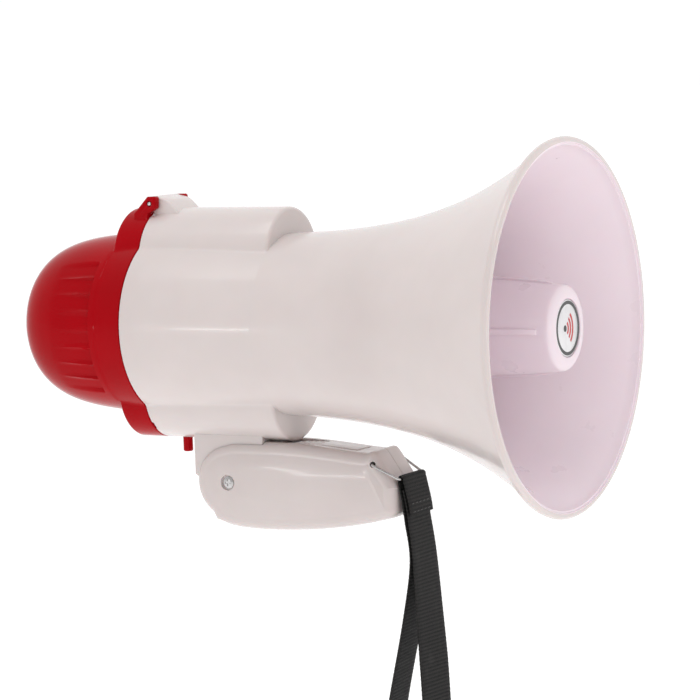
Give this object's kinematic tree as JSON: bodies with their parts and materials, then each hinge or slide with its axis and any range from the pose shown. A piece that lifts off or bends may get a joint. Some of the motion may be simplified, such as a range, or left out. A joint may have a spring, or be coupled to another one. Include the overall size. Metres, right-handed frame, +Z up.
{
  "type": "handheld megaphone",
  "caption": "Handheld megaphone with a flared reflex horn, a hinged rounded rear cover over the batteries, and a folding trigger handle with a webbing wrist strap.",
  "frame": {"origin": "on the handle's pivot axis, half way between the handle's cheeks", "axes": "+X along the horn towards its mouth, +Z up from the handle towards the horn, +Y to the megaphone's left"},
  "size_m": [0.2541, 0.1546, 0.2906],
  "materials": {
    "white_abs": "glossy injection-moulded ABS",
    "red_abs": "glossy injection-moulded ABS",
    "black_plastic": "fine moulded texture",
    "steel": "bright plated",
    "brass": "drawn",
    "copper_coil": "lacquered winding",
    "ferrite": "sintered",
    "mylar": "thin formed film",
    "badge_lacquer": "lacquered",
    "cell_sleeve": "printed sleeve",
    "board_green": "solder mask",
    "capacitor_sleeve": "shrunk sleeve",
    "aluminium": "extruded",
    "rubber": "moulded",
    "webbing": "ribbed woven webbing"
  },
  "bodies": {
    "megaphone_body": {"horn_bell": "white_abs", "housing_shell": "white_abs", "reflector_cup": "white_abs", "throat_tube": "white_abs", "reflector_screw": "steel", "badge_plate": "badge_lacquer", "driver_frame": "black_plastic", "driver_top_plate": "steel", "driver_magnet": "ferrite", "driver_yoke": "steel", "voice_coil": "copper_coil", "driver_diaphragm": "mylar", "driver_screw_1": "steel", "driver_screw_2": "steel", "driver_screw_3": "steel", "battery_tray": "black_plastic", "battery_cell_1": "cell_sleeve", "battery_cell_2": "cell_sleeve", "battery_cell_3": "cell_sleeve", "battery_cell_4": "cell_sleeve", "tray_contact_near": "steel", "tray_contact_far": "steel", "amp_board": "board_green", "heat_sink": "aluminium", "filter_capacitor": "capacitor_sleeve", "siren_switch": "black_plastic", "button_spring": "steel", "volume_pot": "black_plastic", "pivot_bracket": "white_abs", "bracket_screw_1": "steel", "bracket_screw_2": "steel", "pivot_bush": "brass", "hinge_pin": "steel"},
    "rear_cover": {"rear_cover": "red_abs", "microphone": "steel", "mic_grommet": "rubber", "cover_contact_near": "steel", "cover_contact_far": "steel", "contact_spring_near": "steel", "contact_spring_far": "steel", "cover_catch": "red_abs"},
    "handle": {"handle_near": "white_abs", "handle_far": "white_abs", "pivot_screw": "steel", "pivot_nut": "steel", "handle_screw_1": "steel", "handle_screw_2": "steel", "trigger_switch": "black_plastic", "trigger_spring": "steel", "trigger_pin": "steel", "spring_ledge": "black_plastic"},
    "trigger": {"trigger": "white_abs"},
    "siren_button": {"siren_button": "red_abs"},
    "volume_wheel": {"volume_wheel": "black_plastic"},
    "strap_ring": {"strap_ring": "steel"},
    "wrist_strap": {"wrist_strap": "webbing"}
  },
  "joints": [
    {"name": "handle_fold", "type": "hinge", "parent": "megaphone_body", "child": "handle", "pos_m": [0, 0, 0], "axis": [0, 1, 0], "range_deg": [0, 90]},
    {"name": "cover_hinge", "type": "hinge", "parent": "megaphone_body", "child": "rear_cover", "pos_m": [-0.0338, 0, 0.1198], "axis": [0, 1, 0], "range_deg": [0, 110]},
    {"name": "trigger_press", "type": "hinge", "parent": "handle", "child": "trigger", "pos_m": [0.0575, 0, 0.012], "axis": [0, -1, 0], "range_deg": [0, 3.5], "stiffness_Nm_per_rad": 1, "springref_deg": -114.59, "deforming": ["trigger_spring"]},
    {"name": "siren_press", "type": "slide", "parent": "megaphone_body", "child": "siren_button", "axis": [0, 0, 1], "range_m": [0, 0.0025], "stiffness_N_per_m": 400, "springref_m": -0.0015, "deforming": ["button_spring"]},
    {"name": "volume_turn", "type": "hinge", "parent": "megaphone_body", "child": "volume_wheel", "pos_m": [0.0085, 0.0146, 0.036], "axis": [1, 0, 0], "range_deg": [0, 300]},
    {"name": "ring_swing", "type": "hinge", "parent": "handle", "child": "strap_ring", "pos_m": [0.0708, 0, 0.0104], "axis": [0, -1, 0], "range_deg": [0, 40]},
    {"name": "strap_hang", "type": "hinge", "parent": "strap_ring", "child": "wrist_strap", "pos_m": [0.0825, 0, 0.0042], "axis": [0, 1, 0], "range_deg": [-95, 10]}
  ],
  "couplings": [
    {"joint": "strap_hang", "follows": "handle_fold", "ratio": -1}
  ]
}
